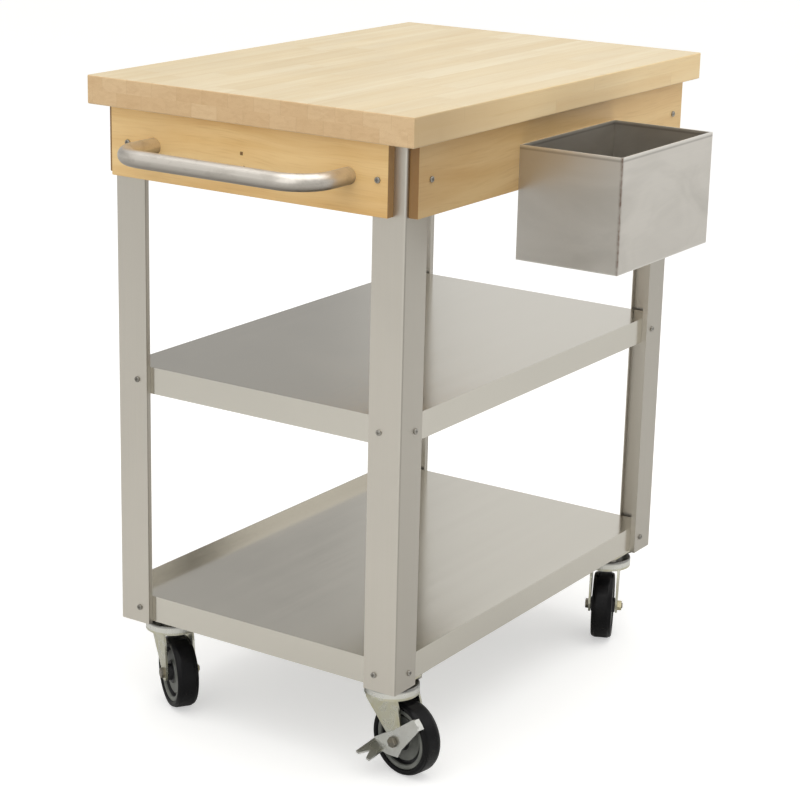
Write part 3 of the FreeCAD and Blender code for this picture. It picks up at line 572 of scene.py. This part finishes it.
CORE_HALF = [
    (6.3, 18.2), (10.6, 18.2), (11.4, 17.4), (11.8, 11.6), (15.6, 11.4), (16.2, 10.6),
    (17.0, 8.6), (27.0, 7.6), (30.0, 8.2), (31.0, 7.4), (31.6, 5.6), (34.6, 5.6), (35.4, 10.6),
    (36.4, 12.4), (38.0, 13.2), (40.6, 13.3), (41.8, 12.6), (41.2, 10.6), (38.4, 9.0),
]
TREAD_HALF = [
    (38.5, 8.9), (41.3, 10.5), (42.0, 12.7), (43.2, 14.0), (44.8, 15.1), (46.6, 15.4),
    (48.2, 14.8), (49.2, 13.6), (49.6, 12.2), (49.8, 11.4), (50.4, 10.8), (50.74, 9.4),
    (50.78, 7.0),
]


def core_slot(radius):
    """Dark for the hub and the groove, grey elsewhere."""
    return 1 if radius < 0.0166 or 0.031 < radius < 0.0352 else 0


for corner in CORNERS:
    spin = JOINTS[f"wheel_spin_{corner}"]
    at, axis = spin["pos_m"], spin["axis"]
    core = lathe(f"look_core_{corner}", mirrored(CORE_HALF), (CORE, CORE_DARK), core_slot, at, axis)
    tread = lathe(f"look_tread_{corner}", mirrored(TREAD_HALF), (RUBBER,), lambda r: 0, at, axis)
    for piece, node_name, slot_name in (
        (core, f"caster_{corner}_wheel_core", "core_plastic"),
        (tread, f"caster_{corner}_wheel_tread", "tread_rubber"),
    ):
        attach(piece, f"wheel_{corner}")
        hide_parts(node_name)


# ---------------------------------------------------------------- studio and camera


def plane(name, side, at, material):
    """A square stage piece lying flat."""
    half = side / 2
    mesh = bpy.data.meshes.new(name)
    corners = [(-half, -half, 0), (half, -half, 0), (half, half, 0), (-half, half, 0)]
    mesh.from_pydata(corners, [], [(0, 1, 2, 3)])
    mesh.materials.append(material)
    obj = bpy.data.objects.new(name, mesh)
    obj.location = at
    bpy.context.scene.collection.objects.link(obj)
    return obj


def pale_floor():
    """Matte floor, seen a little brighter than it lights the cart, and clear from beneath."""
    g = Graph("floor_look")
    cloud = g.noise(g.place, 1.2, 2.0)
    path = g.node("ShaderNodeLightPath")
    g.look(
        Base_Color=g.mix(cloud, (0.70, 0.70, 0.69), (0.74, 0.74, 0.73)),
        Roughness=0.85,
        Emission_Color=(1.0, 1.0, 1.0, 1.0),
        Emission_Strength=g.math("MULTIPLY", path.outputs["Is Camera Ray"], 0.48),
    )
    one_sided = g.node("ShaderNodeMixShader")
    g.put(one_sided.inputs[0], g.node("ShaderNodeNewGeometry").outputs["Backfacing"])
    g.tree.links.new(g.shader.outputs[0], one_sided.inputs[1])
    g.tree.links.new(g.node("ShaderNodeBsdfTransparent").outputs[0], one_sided.inputs[2])
    g.tree.links.new(one_sided.outputs[0], g.tree.nodes["Material Output"].inputs["Surface"])
    return g.material


plane("studio_floor", 80.0, (0, 0, 0), pale_floor())

# brightness of the studio walls by compass angle, as (fraction of a turn from -X, value)
WALLS = (
    (0.0, 0.72), (0.092, 0.62), (0.222, 0.56), (0.375, 0.40), (0.458, 0.62), (0.528, 0.82),
    (0.589, 0.82), (0.595, 0.44), (0.708, 0.44), (0.833, 0.72), (1.0, 0.72),
)
CEILING = 0.78


def studio_world():
    """Soft surround: grey walls below a paler ceiling, and plain white to the camera."""
    world = bpy.data.worlds.new("studio")
    world.use_nodes = True
    tree = world.node_tree
    coords = tree.nodes.new("ShaderNodeTexCoord")
    split = tree.nodes.new("ShaderNodeSeparateXYZ")
    tree.links.new(coords.outputs["Generated"], split.inputs[0])
    angle = tree.nodes.new("ShaderNodeMath")
    angle.operation = "ARCTAN2"
    tree.links.new(split.outputs["Y"], angle.inputs[0])
    tree.links.new(split.outputs["X"], angle.inputs[1])
    turn = tree.nodes.new("ShaderNodeMapRange")
    turn.inputs["From Min"].default_value = -math.pi
    turn.inputs["From Max"].default_value = math.pi
    tree.links.new(angle.outputs[0], turn.inputs["Value"])
    ramp = tree.nodes.new("ShaderNodeValToRGB")
    stops = ramp.color_ramp.elements
    for spot, _ in WALLS[1:-1]:
        stops.new(spot)
    for stop, (_, value) in zip(stops, WALLS):
        stop.color = (value, value * 0.99, value * 0.97, 1.0)
    tree.links.new(turn.outputs[0], ramp.inputs[0])
    rise = tree.nodes.new("ShaderNodeMapRange")
    rise.inputs["From Min"].default_value = 0.35
    rise.inputs["From Max"].default_value = 0.8
    tree.links.new(split.outputs["Z"], rise.inputs["Value"])
    mix = tree.nodes.new("ShaderNodeMix")
    mix.data_type = "RGBA"
    mix.inputs[7].default_value = (CEILING, CEILING * 0.99, CEILING * 0.97, 1.0)
    tree.links.new(rise.outputs[0], mix.inputs[0])
    tree.links.new(ramp.outputs[0], mix.inputs[6])
    path = tree.nodes.new("ShaderNodeLightPath")
    seen = tree.nodes.new("ShaderNodeMix")
    seen.data_type = "RGBA"
    seen.inputs[7].default_value = (1.0, 1.0, 1.0, 1.0)
    tree.links.new(path.outputs["Is Camera Ray"], seen.inputs[0])
    tree.links.new(mix.outputs[2], seen.inputs[6])
    tree.links.new(seen.outputs[2], tree.nodes["Background"].inputs["Color"])
    bpy.context.scene.world = world


studio_world()


def soft_light(name, at, target, side, power):
    """A square area light aimed at a point."""
    light = bpy.data.lights.new(name, "AREA")
    light.shape = "SQUARE"
    light.size = side
    light.energy = power
    obj = bpy.data.objects.new(name, light)
    obj.location = at
    obj.rotation_euler = (Vector(target) - Vector(at)).to_track_quat("-Z", "Y").to_euler()
    bpy.context.scene.collection.objects.link(obj)


soft_light("overhead", (-0.2, -0.4, 3.4), (0, 0, 0.6), 3.6, 50.0)
soft_light("left_fill", (-3.4, -0.4, 2.0), (0, 0, 0.6), 3.0, 15.0)
soft_light("right_fill", (2.3, -2.1, 1.5), (0.2, 0, 0.6), 2.6, 11.0)

# camera place and axes: right, up and away from the view
EYE = Vector((-2.5820, -1.6815, 1.3232))
RIGHT = Vector((0.55246, -0.83322, 0.02297))
UP = Vector((0.22597, 0.17624, 0.95806))
BACK = Vector((-0.80232, -0.52410, 0.28565))
camera_data = bpy.data.cameras.new("camera")
camera_data.sensor_width = 36.0
camera_data.lens = 100.45
camera = bpy.data.objects.new("camera", camera_data)
camera.matrix_world = Matrix.Translation(EYE) @ Matrix((RIGHT, UP, BACK)).transposed().to_4x4()
bpy.context.scene.collection.objects.link(camera)
bpy.context.scene.camera = camera

bpy.context.scene.view_settings.view_transform = "Standard"
